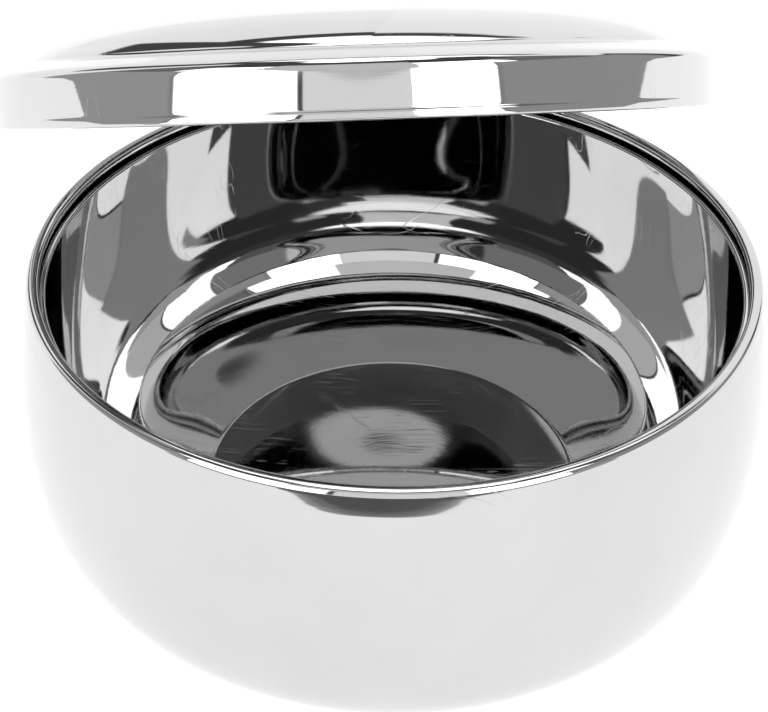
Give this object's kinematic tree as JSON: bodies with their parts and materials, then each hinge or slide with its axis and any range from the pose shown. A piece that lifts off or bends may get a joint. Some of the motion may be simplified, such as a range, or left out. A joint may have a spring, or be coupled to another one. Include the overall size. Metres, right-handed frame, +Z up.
{
  "type": "shaving bowl",
  "caption": "Handle-less double-wall polished steel shaving bowl with a rolled lip, a deep round-bottomed inner bowl for lathering, and a loose domed lid that lifts off.",
  "frame": {"origin": "centre of the flat base, on the surface that the bowl stands on", "axes": "+Z up along the bowl's axis, -Y towards the side where the tilted lid opens, +X to the right of a viewer in front"},
  "size_m": [0.1057, 0.1226, 0.0774],
  "materials": {
    "shell_steel": "mirror-polished stainless steel",
    "liner_steel": "mirror-polished stainless steel with fine wear scratches",
    "lid_steel": "mirror-polished stainless steel"
  },
  "bodies": {
    "bowl": {"outer_shell": "shell_steel", "inner_bowl": "liner_steel"},
    "lid": {"lid_shell": "lid_steel"}
  },
  "joints": [
    {"name": "lid_lift", "type": "slide", "parent": "bowl", "child": "lid", "axis": [0, 0, 1], "range_m": [0, 0.06]}
  ]
}
